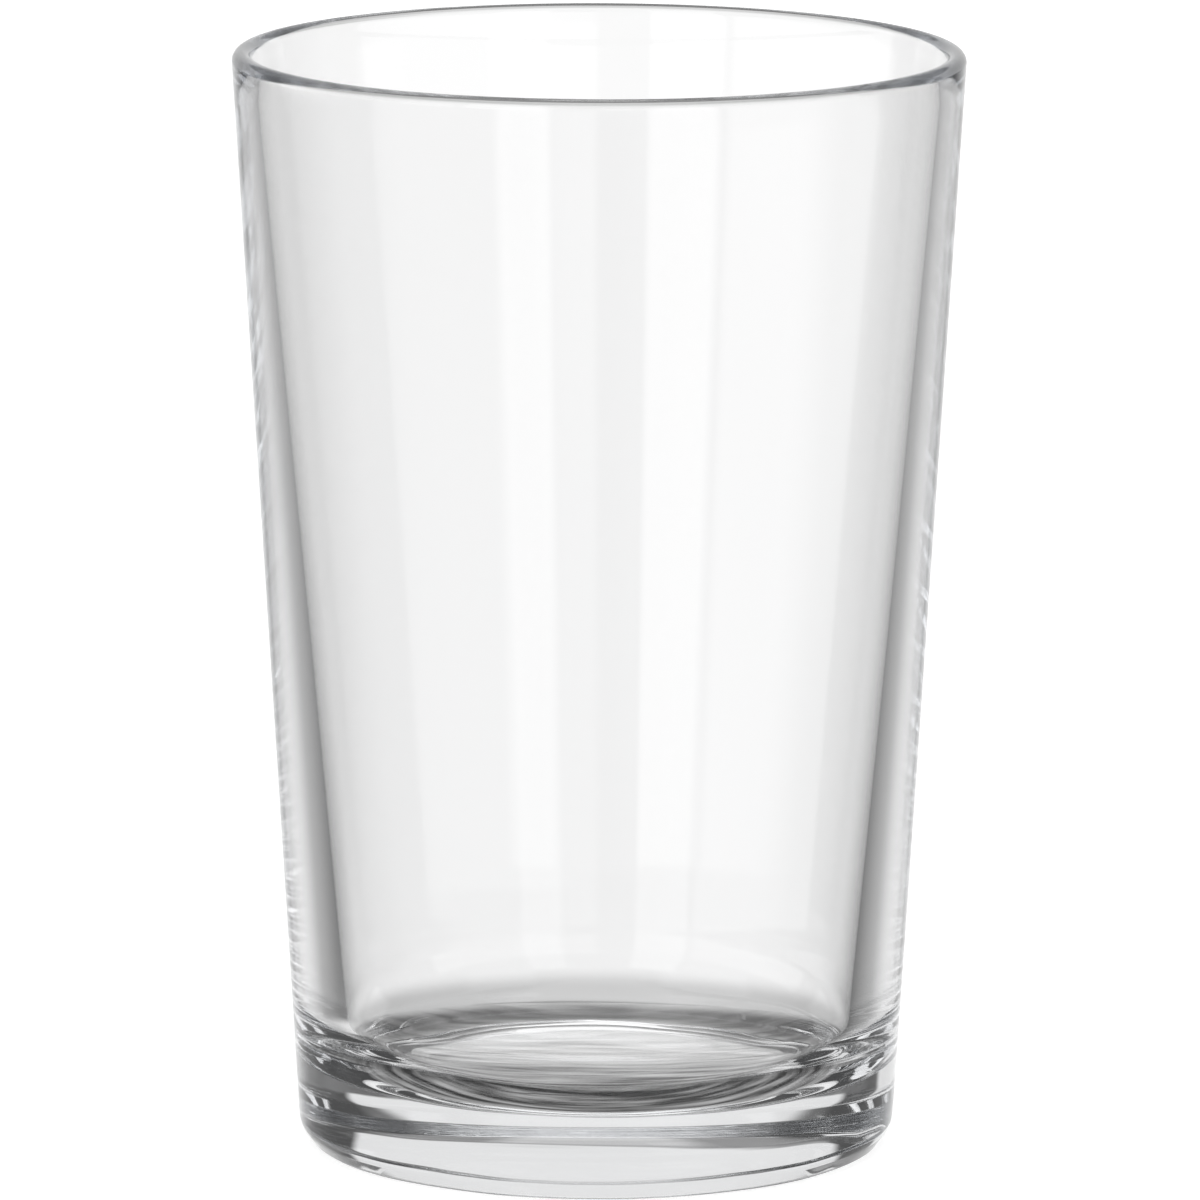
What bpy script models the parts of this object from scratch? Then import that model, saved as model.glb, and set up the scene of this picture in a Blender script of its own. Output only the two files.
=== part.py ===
"""A straight-sided drinking glass with a heavy base, pressed as one piece of clear glass.

The section of the wall is worked out from the sizes below and turned once round the Z axis.
Sizes are in metres. The origin is the middle of the plane that the glass stands on, and +Z
points out of its mouth.
"""

import math
from dataclasses import dataclass

import bmesh
import bpy
from mathutils import Vector

# The outside. The side is one straight taper between these two radii.
HEIGHT = 0.1300
RIM_RADIUS = 0.0430  # of the side, carried up to the level of the rim's top
FOOT_RADIUS = 0.0350  # of the side, carried down to the standing plane

# The heel, which turns the side in to the standing ring.
HEEL_HEIGHT = 0.0023
HEEL_INSET = 0.0015  # how far inside the foot radius the heel meets the standing plane
HEEL_BLEND = 0.0030  # rounds the side into the heel
HEEL_FILLET = 0.0014  # rounds the heel into the standing ring

# The wall, measured level from the side inwards. Its inner side is one straight taper too.
RIM_WALL = 0.0024
FOOT_WALL = 0.0062  # at the level of the inner floor

# The base. It stands on a flat ring, and its middle is pushed up clear of the table.
FLOOR_THICKNESS = 0.0085  # from the standing plane to the inner floor
FLOOR_FILLET = 0.0095  # rounds the inner floor into the wall
RING_WIDTH = 0.0035  # flat part of the standing ring, inside the heel's fillet
PUSH_UP = 0.0003  # rise of the underside's middle above the standing plane
PUSH_UP_SLOPE = 0.0040  # level distance over which the underside rises
PUSH_UP_FILLET = 0.0060  # rounds the foot and the top of that rise

# How finely round shapes are cut into flats.
TURN_SEGMENTS = 72
FLOOR_SEGMENTS = 9
FILLET_SEGMENTS = 6
HEEL_SEGMENTS = 4
PUSH_UP_SEGMENTS = 2
WELD_DISTANCE = 1e-6
SMOOTH_ANGLE = math.radians(35)


@dataclass(frozen=True)
class Corner:
    """A corner of the section, with the radius and the flats of the arc that rounds it."""

    radius: float
    height: float
    fillet: float = 0.0
    segments: int = FILLET_SEGMENTS

    def point(self):
        return Vector((self.radius, self.height))


def side_radius(height):
    """Radius of the outer side at a height above the standing plane."""
    return FOOT_RADIUS + (RIM_RADIUS - FOOT_RADIUS) * height / HEIGHT


def section():
    """Corners from the middle of the inner floor, up the inside, over the rim and back below."""
    floor_edge = side_radius(FLOOR_THICKNESS) - FOOT_WALL
    tread_radius = FOOT_RADIUS - HEEL_INSET
    ring_inside = tread_radius - HEEL_FILLET / 2 - RING_WIDTH
    return [
        Corner(0.0, FLOOR_THICKNESS),
        Corner(floor_edge, FLOOR_THICKNESS, FLOOR_FILLET, FLOOR_SEGMENTS),
        Corner(side_radius(HEIGHT) - RIM_WALL, HEIGHT, RIM_WALL / 2),
        Corner(side_radius(HEIGHT), HEIGHT, RIM_WALL / 2),
        Corner(side_radius(HEEL_HEIGHT), HEEL_HEIGHT, HEEL_BLEND, HEEL_SEGMENTS),
        Corner(tread_radius, 0.0, HEEL_FILLET, HEEL_SEGMENTS),
        Corner(ring_inside, 0.0, PUSH_UP_FILLET, PUSH_UP_SEGMENTS),
        Corner(ring_inside - PUSH_UP_SLOPE, PUSH_UP, PUSH_UP_FILLET, PUSH_UP_SEGMENTS),
        Corner(0.0, PUSH_UP),
    ]


def rounded(before, corner, after):
    """Points of the arc that touches both lines through a corner, or the corner alone."""
    if not corner.fillet:
        return [corner.point()]
    back = (before.point() - corner.point()).normalized()
    ahead = (after.point() - corner.point()).normalized()
    half_angle = back.angle(ahead) / 2
    centre = corner.point() + (back + ahead).normalized() * corner.fillet / math.sin(half_angle)
    start = corner.point() + back * corner.fillet / math.tan(half_angle) - centre
    sweep = (math.pi - 2 * half_angle) * math.copysign(1, back.x * ahead.y - back.y * ahead.x)
    points = []
    for step in range(corner.segments + 1):
        turn = -sweep * step / corner.segments
        turned = Vector(
            (
                start.x * math.cos(turn) - start.y * math.sin(turn),
                start.x * math.sin(turn) + start.y * math.cos(turn),
            )
        )
        points.append(centre + turned)
    return points


def outline(corners):
    """The section's points in order, with every corner rounded."""
    points = [corners[0].point()]
    for before, corner, after in zip(corners, corners[1:], corners[2:]):
        points.extend(rounded(before, corner, after))
    points.append(corners[-1].point())
    return points


def turned_mesh(name, points):
    """A closed mesh made by turning the points once round the Z axis."""
    shape = bmesh.new()
    rim = [shape.verts.new((point.x, 0.0, point.y)) for point in points]
    edges = [shape.edges.new(pair) for pair in zip(rim, rim[1:])]
    bmesh.ops.spin(
        shape,
        geom=rim + edges,
        cent=(0.0, 0.0, 0.0),
        axis=(0.0, 0.0, 1.0),
        angle=2 * math.pi,
        steps=TURN_SEGMENTS,
        use_merge=True,
    )
    bmesh.ops.remove_doubles(shape, verts=shape.verts, dist=WELD_DISTANCE)
    bmesh.ops.recalc_face_normals(shape, faces=shape.faces)
    mesh = bpy.data.meshes.new(name)
    shape.to_mesh(mesh)
    shape.free()
    mesh.shade_smooth()
    mesh.set_sharp_from_angle(angle=SMOOTH_ANGLE)
    return mesh


def clear_glass():
    """The glass's own material: clear soda-lime glass, fire-polished."""
    material = bpy.data.materials.new("clear_glass")
    material.use_nodes = True
    sockets = material.node_tree.nodes["Principled BSDF"].inputs
    sockets["Base Color"].default_value = (0.97, 0.98, 0.975, 1.0)
    sockets["Metallic"].default_value = 0.0
    sockets["Roughness"].default_value = 0.02
    sockets["IOR"].default_value = 1.52
    sockets["Transmission Weight"].default_value = 1.0
    return material


def glass_body():
    """The whole glass: floor, wall, rim and base are one solid, as it leaves the press."""
    mesh = turned_mesh("glass_body", outline(section()))
    mesh.materials.append(clear_glass())
    body = bpy.data.objects.new("glass_body", mesh)
    bpy.context.scene.collection.objects.link(body)
    return body


for leftover in list(bpy.data.objects):
    bpy.data.objects.remove(leftover, do_unlink=True)

glass_body()
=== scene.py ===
"""The looks of a clear, straight-sided pint glass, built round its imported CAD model.

The glass is one pressed piece, so the scene holds one finely turned solid of clear glass on a
pale floor, in the light of a plain studio. Sizes are in metres and angles in degrees, unless a
name says otherwise. The glass stands on the plane z = 0, and +Z points out of its mouth.
"""

from __future__ import annotations

import logging
import math
from dataclasses import dataclass, field
from enum import Enum
from typing import Mapping, Sequence

import bmesh
import bpy
from mathutils import Matrix, Vector, noise

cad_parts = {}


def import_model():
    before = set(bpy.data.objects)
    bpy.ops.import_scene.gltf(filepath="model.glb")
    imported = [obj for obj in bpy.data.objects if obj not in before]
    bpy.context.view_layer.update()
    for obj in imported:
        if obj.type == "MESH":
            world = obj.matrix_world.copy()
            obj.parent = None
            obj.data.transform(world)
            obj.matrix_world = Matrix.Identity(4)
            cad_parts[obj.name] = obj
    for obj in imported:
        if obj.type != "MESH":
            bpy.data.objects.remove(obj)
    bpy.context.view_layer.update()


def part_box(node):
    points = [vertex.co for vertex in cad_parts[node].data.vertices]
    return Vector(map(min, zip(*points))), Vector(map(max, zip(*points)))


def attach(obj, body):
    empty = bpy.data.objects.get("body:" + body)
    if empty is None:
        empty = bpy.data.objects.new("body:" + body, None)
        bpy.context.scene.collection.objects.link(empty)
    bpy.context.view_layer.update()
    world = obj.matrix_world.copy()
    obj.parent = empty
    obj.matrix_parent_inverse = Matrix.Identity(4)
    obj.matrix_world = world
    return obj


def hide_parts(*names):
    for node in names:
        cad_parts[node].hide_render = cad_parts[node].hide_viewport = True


LOG = logging.getLogger("pint_glass")
BODY = "root"
NODE = "glass_body"
LIGHT_BOUNCES = 256  # light runs a long way round inside the wall and the rim
WHITE = (1.0, 1.0, 1.0, 1.0)
BLACK = (0.0, 0.0, 0.0, 1.0)
ON_AXIS = 1e-7  # a point nearer than this to the axis is on it
LEAST_DIVISOR = 1e-4


def held(value: float, lowest: float, highest: float) -> float:
    """Returns the value, held between two limits."""
    return min(max(value, lowest), highest)


class Arithmetic(Enum):
    """The Math node's operations that the shaders here use."""

    ADD = "ADD"
    SUBTRACT = "SUBTRACT"
    MULTIPLY = "MULTIPLY"
    DIVIDE = "DIVIDE"
    MAXIMUM = "MAXIMUM"
    SQUARE_ROOT = "SQRT"


class Graph:
    """A node tree, with one way to add a node."""

    def __init__(self, tree: bpy.types.NodeTree) -> None:
        """Empties the tree and keeps it.

        Args:
            tree: The node tree of a material or a world.
        """
        self.tree = tree
        tree.nodes.clear()

    def node(
        self,
        kind: str,
        settings: Mapping[str, object] | None = None,
        inputs: Mapping[object, object] | None = None,
    ) -> bpy.types.Node:
        """Adds a node, sets what it does, then fills its sockets.

        Args:
            kind: The node's type, such as ShaderNodeMath.
            settings: Attributes that are set first, such as the operation.
            inputs: For each socket's name or index, a plain value, a Number or a socket to link.

        Returns:
            The new node.
        """
        made = self.tree.nodes.new(kind)
        for name, value in (settings or {}).items():
            setattr(made, name, value)
        for name, value in (inputs or {}).items():
            source = value.socket if isinstance(value, Number) else value
            if isinstance(source, bpy.types.NodeSocket):
                self.tree.links.new(source, made.inputs[name])
            else:
                made.inputs[name].default_value = source
        return made

    def place(self, kind: str) -> tuple[bpy.types.NodeSocket, list[Number]]:
        """Adds a Texture Coordinate node.

        Args:
            kind: Which of its outputs to use, such as Object.

        Returns:
            That output, and its X, Y and Z.
        """
        place = self.node("ShaderNodeTexCoord").outputs[kind]
        split = self.node("ShaderNodeSeparateXYZ", {}, {0: place})
        return place, [Number(self, split.outputs[axis]) for axis in range(3)]


class Number:
    """A shader value that ordinary arithmetic works on."""

    def __init__(self, graph: Graph, socket: bpy.types.NodeSocket) -> None:
        """Wraps an output socket.

        Args:
            graph: The graph that the socket's node is in.
            socket: The output socket that carries the value.
        """
        self.graph = graph
        self.socket = socket

    def math(self, operation: Arithmetic, *values: object) -> Number:
        """Adds a Math node.

        Args:
            operation: What the node does.
            values: Its inputs in order, as Numbers or plain numbers.

        Returns:
            The node's result.
        """
        made = self.graph.node(
            "ShaderNodeMath", {"operation": operation.value}, dict(enumerate(values))
        )
        return Number(self.graph, made.outputs[0])

    def __add__(self, other: object) -> Number:
        """Returns self + other."""
        return self.math(Arithmetic.ADD, self, other)

    __radd__ = __add__

    def __sub__(self, other: object) -> Number:
        """Returns self - other."""
        return self.math(Arithmetic.SUBTRACT, self, other)

    def __rsub__(self, other: object) -> Number:
        """Returns other - self."""
        return self.math(Arithmetic.SUBTRACT, other, self)

    def __mul__(self, other: object) -> Number:
        """Returns self * other."""
        return self.math(Arithmetic.MULTIPLY, self, other)

    __rmul__ = __mul__

    def __truediv__(self, other: object) -> Number:
        """Returns self / other."""
        return self.math(Arithmetic.DIVIDE, self, other)

    def root(self) -> Number:
        """Returns the square root."""
        return self.math(Arithmetic.SQUARE_ROOT, self)

    def at_least(self, lowest: float) -> Number:
        """Returns the value, or lowest where that is more."""
        return self.math(Arithmetic.MAXIMUM, self, lowest)

    def ramp(self, start: float, end: float, low: float = 0.0, high: float = 1.0) -> Number:
        """Eases from low at start to high at end, and holds them beyond.

        Args:
            start: The value at which the result is low.
            end: The value at which the result is high. It may be less than start.
            low: The result before start.
            high: The result past end.

        Returns:
            The eased value.
        """
        turned = start > end
        made = self.graph.node(
            "ShaderNodeMapRange",
            {"interpolation_type": "SMOOTHSTEP", "clamp": True},
            {
                "Value": self,
                "From Min": end if turned else start,
                "From Max": start if turned else end,
                "To Min": high if turned else low,
                "To Max": low if turned else high,
            },
        )
        return Number(self.graph, made.outputs["Result"])


# ------------------------------------------------------------------------------ the glass


@dataclass(frozen=True)
class Corner:
    """A corner of the section, with the radius and the steps of the arc that rounds it."""

    radius: float
    height: float
    fillet: float = 0.0
    steps: int = 16

    def point(self) -> Vector:
        """Returns the corner as a point of the section."""
        return Vector((self.radius, self.height))


@dataclass(frozen=True)
class Wave:
    """A shallow unevenness of the surface, as a mould and a flame leave it.

    The sizes are how far apart its crests lie along X, Y and Z.
    """

    depth: float
    sizes: tuple[float, float, float]
    seed: float

    def at(self, place: Vector) -> float:
        """Returns how far the surface stands out at a place."""
        x, y, z = (value / size for value, size in zip(place, self.sizes))
        return self.depth * noise.noise(Vector((x + self.seed, y - self.seed, z + self.seed)))


@dataclass(frozen=True)
class ClearGlass:
    """Clear soda-lime glass, with the faint grey that shows in its thickest parts."""

    refraction: float = 1.52
    roughness: float = 0.0
    depth_colour: tuple[float, float, float, float] = (0.58, 0.60, 0.63, 1.0)
    depth_density: float = 4.0

    def material(self) -> bpy.types.Material:
        """Makes the glass's material.

        Returns:
            The new material.
        """
        made = bpy.data.materials.new("clear_glass")
        made.use_nodes = True
        graph = Graph(made.node_tree)
        shader = graph.node(
            "ShaderNodeBsdfPrincipled",
            {},
            {
                "Base Color": WHITE,
                "Roughness": self.roughness,
                "IOR": self.refraction,
                "Transmission Weight": 1.0,
            },
        )
        depth = graph.node(
            "ShaderNodeVolumeAbsorption",
            {},
            {"Color": self.depth_colour, "Density": self.depth_density},
        )
        graph.node(
            "ShaderNodeOutputMaterial",
            {},
            {"Surface": shader.outputs[0], "Volume": depth.outputs[0]},
        )
        return made


@dataclass
class GlassBody:
    """The whole glass: floor, wall, rim and heavy base, as one solid."""

    height: float
    widest: float
    rim_easing: float = 0.0001  # what the rim's rounding takes off the side's radius
    foot_radius: float = 0.0350
    heel_height: float = 0.0023
    heel_inset: float = 0.0015
    heel_blend: float = 0.0030
    heel_fillet: float = 0.0014
    rim_wall: float = 0.0024
    foot_wall: float = 0.0062
    floor_thickness: float = 0.0085
    floor_fillet: float = 0.0095
    floor_steps: int = 24
    ring_width: float = 0.0035
    push_up: float = 0.0003
    push_up_slope: float = 0.0040
    push_up_fillet: float = 0.0060
    push_up_steps: int = 8
    core_lean: float = 0.00025  # how far the inside leans to one side at the floor
    turn_steps: int = 352
    wall_step: float = 0.0030
    base_step: float = 0.0009
    base_height: float = 0.024
    middle_height: float = 0.06
    calm_radius: float = 0.026  # the inner floor's waves fade towards this radius
    calm_run: float = 0.006
    calm_share: float = 0.15
    outside_share: float = 0.15  # of the wall's waves that the outside has
    heel_middle: float = 0.6  # of the heel's height, where its waves are deepest
    floor_waves: Sequence[Wave] = (
        Wave(0.00010, (0.011, 0.011, 0.011), 11.3),
        Wave(0.00005, (0.022, 0.0036, 0.0080), 23.7),
    )
    wall_waves: Sequence[Wave] = (Wave(0.00003, (0.018, 0.018, 0.060), 41.9),)
    under_waves: Sequence[Wave] = (
        Wave(0.00016, (0.015, 0.015, 0.015), 61.7),
        Wave(0.00002, (0.007, 0.007, 0.007), 71.9),
    )
    heel_waves: Sequence[Wave] = (
        Wave(0.00012, (0.012, 0.012, 0.030), 83.3),
        Wave(0.00003, (0.004, 0.004, 0.012), 97.1),
    )
    finish: ClearGlass = field(default_factory=ClearGlass)

    def side_radius(self, height: float) -> float:
        """Returns the outer side's radius at a height."""
        rim_radius = self.widest + self.rim_easing
        return self.foot_radius + (rim_radius - self.foot_radius) * height / self.height

    def ring_radius(self) -> float:
        """Returns the outer radius of the flat ring that the glass stands on."""
        return self.foot_radius - self.heel_inset - self.heel_fillet / 2

    def section(self) -> list[Corner]:
        """Works out the section's corners.

        Returns:
            The corners, up the inside, over the rim and down to the middle of the underside.
        """
        floor = self.floor_thickness
        floor_edge = self.side_radius(floor) - self.foot_wall
        top = self.side_radius(self.height)
        tread = self.foot_radius - self.heel_inset
        ring = self.ring_radius() - self.ring_width
        slope_end = ring - self.push_up_slope
        return [
            Corner(0.0, floor),
            Corner(floor_edge, floor, self.floor_fillet, self.floor_steps),
            Corner(top - self.rim_wall, self.height, self.rim_wall / 2),
            Corner(top, self.height, self.rim_wall / 2),
            Corner(self.side_radius(self.heel_height), self.heel_height, self.heel_blend),
            Corner(tread, 0.0, self.heel_fillet),
            Corner(ring, 0.0, self.push_up_fillet, self.push_up_steps),
            Corner(slope_end, self.push_up, self.push_up_fillet, self.push_up_steps),
            Corner(0.0, self.push_up),
        ]

    def step_at(self, height: float) -> float:
        """Returns how far apart the section's points may be at a height."""
        return self.base_step if height < self.base_height else self.wall_step

    @staticmethod
    def rounded(before: Corner, corner: Corner, after: Corner) -> list[Vector]:
        """Rounds one corner of the section.

        Args:
            before: The corner before it.
            corner: The corner to round.
            after: The corner after it.

        Returns:
            The points of the arc that touches both lines through the corner.
        """
        if not corner.fillet:
            return [corner.point()]
        back = (before.point() - corner.point()).normalized()
        ahead = (after.point() - corner.point()).normalized()
        half = back.angle(ahead) / 2
        centre = corner.point() + (back + ahead).normalized() * corner.fillet / math.sin(half)
        start = corner.point() + back * corner.fillet / math.tan(half) - centre
        side = math.copysign(1, back.x * ahead.y - back.y * ahead.x)
        sweep = -(math.pi - 2 * half) * side
        points = []
        for step in range(corner.steps + 1):
            turn = Matrix.Rotation(sweep * step / corner.steps, 2)
            points.append(centre + turn @ start)
        return points

    def outline(self) -> list[Vector]:
        """Rounds the section's corners, and cuts its straight runs into even steps.

        Returns:
            The points of the finished section, in order.
        """
        corners = self.section()
        points = [corners[0].point()]
        for before, corner, after in zip(corners, corners[1:], corners[2:]):
            points.extend(self.rounded(before, corner, after))
        points.append(corners[-1].point())
        even = [points[0]]
        for start, end in zip(points, points[1:]):
            while (end - start).length > 1.5 * self.step_at(start.y):
                start = start + (end - start).normalized() * self.step_at(start.y)
                even.append(start)
            even.append(end)
        return even

    def inside_waves(self, place: Vector, flat: Vector) -> float:
        """Works out how uneven the drinking side is at a place.

        Args:
            place: The point on the even surface.
            flat: Its radius and height.

        Returns:
            The distance along the surface's normal, below zero where it sinks.
        """
        low = held((self.base_height - flat.y) / self.base_height * 2.0, 0.0, 1.0)
        walls = sum(wave.at(place) for wave in self.wall_waves)
        lean = self.core_lean * place.x / self.widest * (1 - flat.y / self.height)
        flatness = held((self.calm_radius - flat.x) / self.calm_run, self.calm_share, 1.0)
        floor = flatness * sum(wave.at(place) for wave in self.floor_waves)
        return low * floor + (1 - low) * walls - lean

    def outside_waves(self, place: Vector, flat: Vector) -> float:
        """Works out how uneven the side, the heel or the underside is at a place.

        Args:
            place: The point on the even surface.
            flat: Its radius and height.

        Returns:
            The distance along the surface's normal, which is zero on the standing ring.
        """
        ring = self.ring_radius()
        if flat.x < ring - self.ring_width:
            return sum(wave.at(place) for wave in self.under_waves)
        if flat.x < ring:
            return 0.0
        off_heel = (flat.y - self.heel_height * self.heel_middle) / self.heel_height
        heel = math.exp(-(off_heel**2))
        walls = sum(wave.at(place) for wave in self.wall_waves)
        walls *= min(flat.y / self.base_height, 1.0)
        return self.outside_share * walls + heel * sum(wave.at(place) for wave in self.heel_waves)

    def rings(self, shape: bmesh.types.BMesh) -> list[list[bmesh.types.BMVert]]:
        """Turns each point of the section round the axis.

        Args:
            shape: The mesh that takes the points.

        Returns:
            A ring of points for each point of the section. A point on the axis stays alone.
        """
        outline = self.outline()
        top = max(range(len(outline)), key=lambda index: outline[index].y)
        rings = []
        for index, flat in enumerate(outline):
            along = outline[min(index + 1, len(outline) - 1)] - outline[max(index - 1, 0)]
            out = Vector((along.y, -along.x)).normalized()
            waves = self.outside_waves
            if index < top:
                waves = self.inside_waves
                inwards = Vector((-flat.x, self.middle_height - flat.y))
                out = -out if out.dot(inwards) < 0 else out
            ring = []
            for step in range(self.turn_steps if flat.x > ON_AXIS else 1):
                angle = 2 * math.pi * step / self.turn_steps
                turn = Vector((math.cos(angle), math.sin(angle), 0.0))
                place = turn * flat.x + Vector((0.0, 0.0, flat.y))
                normal = turn * out.x + Vector((0.0, 0.0, out.y))
                ring.append(shape.verts.new(place + normal * waves(place, flat)))
            rings.append(ring)
        return rings

    def build(self) -> bpy.types.Object:
        """Makes the turned solid.

        Returns:
            The new object, which has no material yet.
        """
        shape = bmesh.new()
        rings = self.rings(shape)
        for inner, outer in zip(rings, rings[1:]):
            for step in range(self.turn_steps):
                ahead = (step + 1) % self.turn_steps
                if len(inner) == 1:
                    shape.faces.new((inner[0], outer[step], outer[ahead]))
                elif len(outer) == 1:
                    shape.faces.new((inner[ahead], inner[step], outer[0]))
                else:
                    shape.faces.new((inner[step], outer[step], outer[ahead], inner[ahead]))
        bmesh.ops.recalc_face_normals(shape, faces=shape.faces)
        mesh = bpy.data.meshes.new("pressed_glass")
        shape.to_mesh(mesh)
        shape.free()
        mesh.shade_smooth()
        made = bpy.data.objects.new("pressed_glass", mesh)
        bpy.context.scene.collection.objects.link(made)
        return made

    def dress(self, piece: bpy.types.Object) -> None:
        """Gives the glass its material."""
        piece.data.materials.append(self.finish.material())


# ------------------------------------------------------------------------------ the studio


@dataclass(frozen=True)
class Panel:
    """A bright or dark patch of the studio, as the glass sees it.

    Azimuth 0 is where the camera stands and 90 is to its right; elevation is above the horizon.
    """

    azimuth: float
    half_width: float
    edge: float
    lowest: float
    highest: float
    level: float
    rise: float = 3.0

    def shown(self, east: Number, north: Number, height: Number) -> Number:
        """Works out how much of the panel shows in a direction.

        Args:
            east: The X of the direction's level part, as a unit vector.
            north: Its Y.
            height: The sine of the direction's elevation.

        Returns:
            A value from 0 to 1.
        """
        turn = math.radians(self.azimuth)
        facing = east * math.sin(turn) - north * math.cos(turn)
        near = math.cos(math.radians(self.half_width))
        far = math.cos(math.radians(self.half_width + self.edge))
        low = math.sin(math.radians(self.lowest))
        low_end = math.sin(math.radians(self.lowest + self.rise))
        high = math.sin(math.radians(self.highest))
        high_end = math.sin(math.radians(self.highest - self.rise))
        return facing.ramp(far, near) * height.ramp(low, low_end) * height.ramp(high, high_end)


@dataclass(frozen=True)
class PaleFloor:
    """The floor's matt finish. It glows a little, so that it stays pale in every view."""

    tone: tuple[float, float, float, float] = (0.9, 0.9, 0.9, 1.0)
    roughness: float = 0.6
    glow: float = 0.75

    def dress(self, graph: Graph) -> None:
        """Fills a material's graph with the finish."""
        shader = graph.node(
            "ShaderNodeBsdfPrincipled",
            {},
            {
                "Base Color": self.tone,
                "Roughness": self.roughness,
                "Specular IOR Level": 0.0,
                "Emission Color": WHITE,
                "Emission Strength": self.glow,
            },
        )
        graph.node("ShaderNodeOutputMaterial", {}, {"Surface": shader.outputs[0]})


@dataclass(frozen=True)
class ContactShade:
    """Painted shadow right under the glass: darkest at the front, streaked, darker at the ring.
    """

    # A glowing disc, no lamp: its tone is painted shadow, with painted streaks of light and
    # shade.
    front: float = -0.030
    back: float = 0.014
    front_tone: float = 0.12
    back_tone: float = 0.60
    streak_scale: tuple[float, float, float] = (60.0, 420.0, 1.0)
    streak_detail: float = 3.0
    streak_middle: float = 0.5
    streak_depth: float = 1.6
    ring_start: float = 0.030
    ring_end: float = 0.036
    ring_share: float = 0.30
    edge_start: float = 0.0375
    edge_end: float = 0.0405
    edge_tone: float = 0.38
    darkest: float = 0.04

    def dress(self, graph: Graph) -> None:
        """Fills a material's graph with the shade.

        Args:
            graph: The graph to fill.
        """
        place, (x, y, _) = graph.place("Object")
        radius = (x * x + y * y).root()
        stretched = graph.node(
            "ShaderNodeMapping", {}, {"Vector": place, "Scale": self.streak_scale}
        )
        light_streak_noise = graph.node(
            "ShaderNodeTexNoise",
            {},
            {"Vector": stretched.outputs[0], "Scale": 1.0, "Detail": self.streak_detail},
        )
        # painted streaks of light and shade, as the base bends the light
        painted_light_streaks = (Number(graph, light_streak_noise.outputs[0]) - self.streak_middle) * self.streak_depth
        tone = y.ramp(self.front, self.back, self.front_tone, self.back_tone) + painted_light_streaks
        # painted shade, darker at the standing ring
        tone = tone * radius.ramp(self.ring_start, self.ring_end, 1.0, self.ring_share)
        # lighter towards the disc's edge
        tone = tone + radius.ramp(self.edge_start, self.edge_end, 0.0, self.edge_tone)
        # the painted shadow and its streaks are drawn as glow
        glow = graph.node(
            "ShaderNodeVectorMath",
            {"operation": "SCALE"},
            {0: WHITE[:3], "Scale": tone.at_least(self.darkest)},
        )
        shader = graph.node(
            "ShaderNodeBsdfPrincipled",
            {},
            {
                "Base Color": BLACK,
                "Specular IOR Level": 0.0,
                "Emission Color": glow.outputs[0],
                "Emission Strength": 1.0,
            },
        )
        graph.node("ShaderNodeOutputMaterial", {}, {"Surface": shader.outputs[0]})


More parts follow.
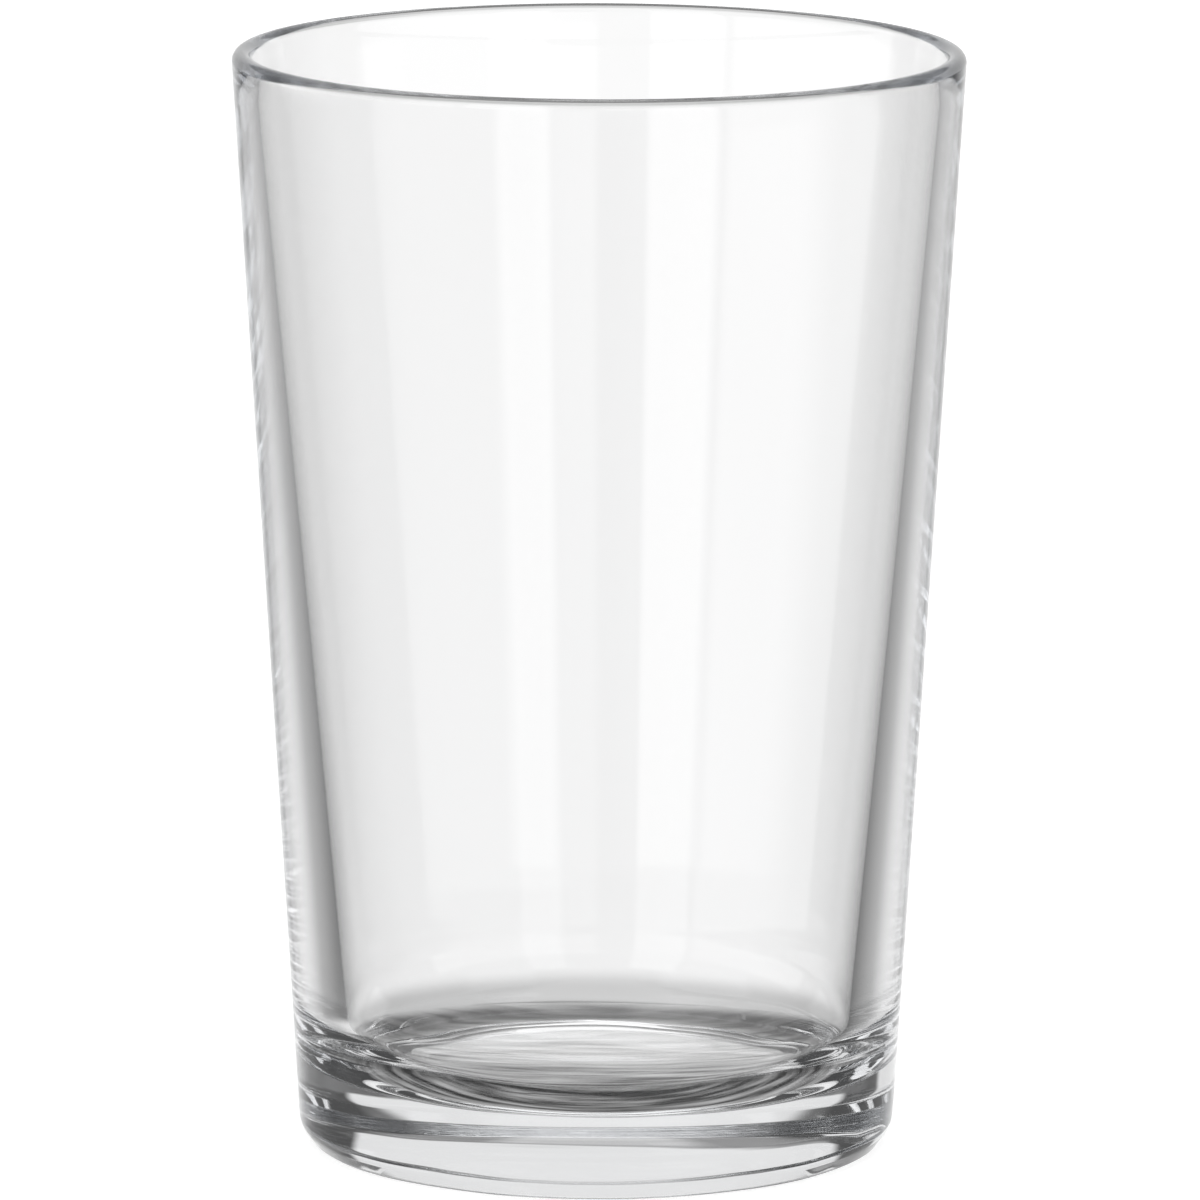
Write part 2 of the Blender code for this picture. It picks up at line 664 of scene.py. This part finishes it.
@dataclass
class Studio:
    """The floor and the light."""

    floor_radius: float = 60.0
    floor_finish: PaleFloor = field(default_factory=PaleFloor)
    # a disc of painted shadow under the glass, seen only through its base
    shade_radius: float = 0.0405
    shade_drop: float = 0.0001
    painted_shadow: ContactShade = field(default_factory=ContactShade)
    ceiling: float = 1.25
    ceiling_edge: tuple[float, float] = (0.82, 0.93)
    walls: float = 0.09
    table: float = 0.10
    table_edge: tuple[float, float] = (-0.45, -0.2)
    backdrops: Sequence[Panel] = (
        Panel(0, 50, 25, -16, 28, 0.35, 8),
        Panel(278, 34, 4, -12, 20, 1.0, 3),
        Panel(45, 42, 4, -8, 20, 1.0, 3),
        Panel(225, 0, 42, -33, -19, 1.0, 3),
        Panel(45, 0, 42, -21, 4, 0.75, 3),
        Panel(180, 10, 50, -62, -38, 0.20, 10),
        Panel(180, 10, 50, -45, -10, 0.55, 3),
        Panel(180, 0, 44, -45, -26, 0.66, 3),
        Panel(180, 0, 36, -35, 6, 1.02, 10),
        Panel(180, 42, 4, -7, 20, 0.92, 4),
        Panel(180, 30, 22, 16, 64, 0.34, 6),
        Panel(180, 10, 8, 16, 64, 0.65, 6),
    )
    softboxes: Sequence[Panel] = (
        Panel(-30, 11, 3, -11, 40, 1.1),
        Panel(27, 8, 3, -12, 40, 0.9),
    )

    @staticmethod
    def disc(name: str, radius: float, drop: float) -> tuple[bpy.types.Object, Graph]:
        """Makes a level disc.

        Args:
            name: What the object, its mesh and its material are called.
            radius: The disc's radius.
            drop: How far it lies below the standing plane.

        Returns:
            The new object, and its material's empty graph.
        """
        shape = bmesh.new()
        bmesh.ops.create_circle(shape, cap_ends=True, segments=64, radius=radius)
        bmesh.ops.translate(shape, verts=shape.verts, vec=(0.0, 0.0, -drop))
        mesh = bpy.data.meshes.new(name)
        shape.to_mesh(mesh)
        shape.free()
        material = bpy.data.materials.new(name)
        material.use_nodes = True
        mesh.materials.append(material)
        made = bpy.data.objects.new(name, mesh)
        bpy.context.scene.collection.objects.link(made)
        return made, Graph(material.node_tree)

    def sweep(self) -> bpy.types.Object:
        """Makes the pale floor, which the glass itself doesn't reflect or show.

        Returns:
            The new object.
        """
        made, graph = self.disc("pale_floor", self.floor_radius, 0.0)
        made.visible_transmission = False
        made.visible_glossy = False
        self.floor_finish.dress(graph)
        return made

    def contact_shade(self) -> bpy.types.Object:
        """Makes a disc of painted shadow under the glass, which shows only through its base.

        Returns:
            The new object.
        """
        made, graph = self.disc("contact_shade", self.shade_radius, self.shade_drop)
        made.visible_camera = False
        made.visible_glossy = False
        made.visible_diffuse = False
        made.visible_shadow = False
        made.active_material.cycles.emission_sampling = "NONE"
        self.painted_shadow.dress(graph)
        return made

    def light(self) -> bpy.types.World:
        """Makes the world that lights the studio.

        Returns:
            The new world, which becomes the scene's own.
        """
        world = bpy.data.worlds.new("soft_studio")
        world.use_nodes = True
        graph = Graph(world.node_tree)
        _, (east, north, height) = graph.place("Generated")
        level_length = (east * east + north * north).root().at_least(LEAST_DIVISOR)
        east = east / level_length
        north = north / level_length
        tone = height.ramp(*self.table_edge, self.table, self.walls)
        tone = tone + height.ramp(*self.ceiling_edge, 0.0, self.ceiling)
        for panel in self.backdrops:
            tone = tone + panel.shown(east, north, height) * (panel.level - tone)
        for panel in self.softboxes:
            tone = tone + panel.shown(east, north, height) * panel.level
        sky = graph.node("ShaderNodeBackground", {}, {"Color": WHITE, "Strength": tone})
        graph.node("ShaderNodeOutputWorld", {}, {"Surface": sky.outputs[0]})
        bpy.context.scene.world = world
        return world


@dataclass
class ProductCamera:
    """A long lens, a little above the rim, level with the front of the glass."""

    distance: float = 1.419
    height: float = 0.32265
    aside: float = 0.00028
    tilt: float = 10.3035
    roll: float = 0.1737
    lens: float = 367.44
    sensor: float = 36.0

    def build(self) -> bpy.types.Object:
        """Makes the camera.

        Returns:
            The new object, which becomes the scene's camera.
        """
        data = bpy.data.cameras.new("product_camera")
        data.lens = self.lens
        data.sensor_width = self.sensor
        made = bpy.data.objects.new("product_camera", data)
        made.rotation_mode = "QUATERNION"
        level = Matrix.Rotation(math.radians(90 - self.tilt), 4, "X")
        made.matrix_world = (
            Matrix.Translation((self.aside, -self.distance, self.height))
            @ level
            @ Matrix.Rotation(math.radians(self.roll), 4, "Z")
        )
        bpy.context.scene.collection.objects.link(made)
        bpy.context.scene.camera = made
        return made


def set_light_paths(scene: bpy.types.Scene) -> None:
    """Lets light run as far as it does in thick glass, and shows its colours unchanged.

    Args:
        scene: The scene to set.
    """
    scene.view_settings.view_transform = "Standard"
    scene.cycles.max_bounces = LIGHT_BOUNCES
    scene.cycles.transmission_bounces = LIGHT_BOUNCES
    scene.cycles.glossy_bounces = LIGHT_BOUNCES


def main() -> None:
    """Builds the glass and its studio round the CAD model."""
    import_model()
    low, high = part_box(NODE)
    glass = GlassBody(height=high.z - low.z, widest=(high.x - low.x) / 2)
    piece = glass.build()
    glass.dress(piece)
    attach(piece, BODY)
    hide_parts(NODE)
    LOG.info("%s: %d faces", piece.name, len(piece.data.polygons))
    studio = Studio()
    studio.sweep()
    studio.contact_shade()
    LOG.info("%s: floor and contact shade", type(studio).__name__)
    LOG.info("%s: light", studio.light().name)
    LOG.info("%s: camera", ProductCamera().build().name)
    set_light_paths(bpy.context.scene)


if __name__ == "__main__":
    logging.basicConfig(level=logging.INFO)
    main()
